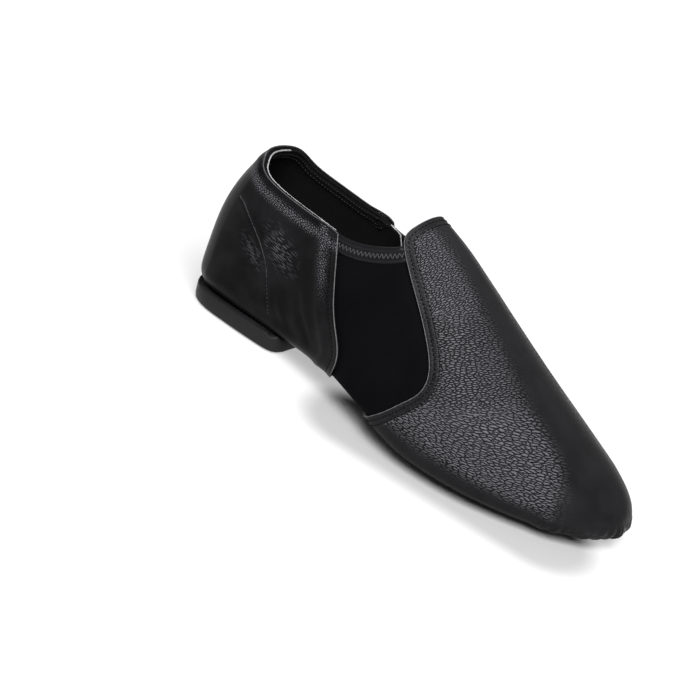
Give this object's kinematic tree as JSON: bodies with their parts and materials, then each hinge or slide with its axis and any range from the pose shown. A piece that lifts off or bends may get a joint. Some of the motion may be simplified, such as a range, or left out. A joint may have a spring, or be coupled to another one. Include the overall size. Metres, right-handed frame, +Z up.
{
  "type": "slip-on dance shoe",
  "caption": "Black slip-on dance shoe for the right foot: leather vamp with instep tab, leather quarter, stretch sides with a folded top band, split rubber sole with a low heel pad.",
  "frame": {"origin": "middle of the bounding box in plan, on the floor that the shoe stands on", "axes": "+X towards the toe, +Y towards the inner side of the foot, +Z up"},
  "size_m": [0.2434, 0.092, 0.0944],
  "materials": {
    "stretch_cloth": "matte stretch cloth with a soft sheen",
    "leather": "pebble-grained black leather, satin",
    "leather_quarter": "smooth black leather, satin",
    "band_cloth": "folded stretch cloth, matte",
    "rubber": "dotted black rubber, matte",
    "heel_rubber": "black rubber, satin sides",
    "insole_cloth": "dark cloth over thin foam"
  },
  "bodies": {
    "root": {"upper": "stretch_cloth", "vamp": "leather", "quarter": "leather_quarter", "gore_band_lateral": "band_cloth", "gore_band_medial": "band_cloth", "forefoot_sole": "rubber", "heel_sole": "heel_rubber", "insole": "insole_cloth"}
  },
  "joints": []
}
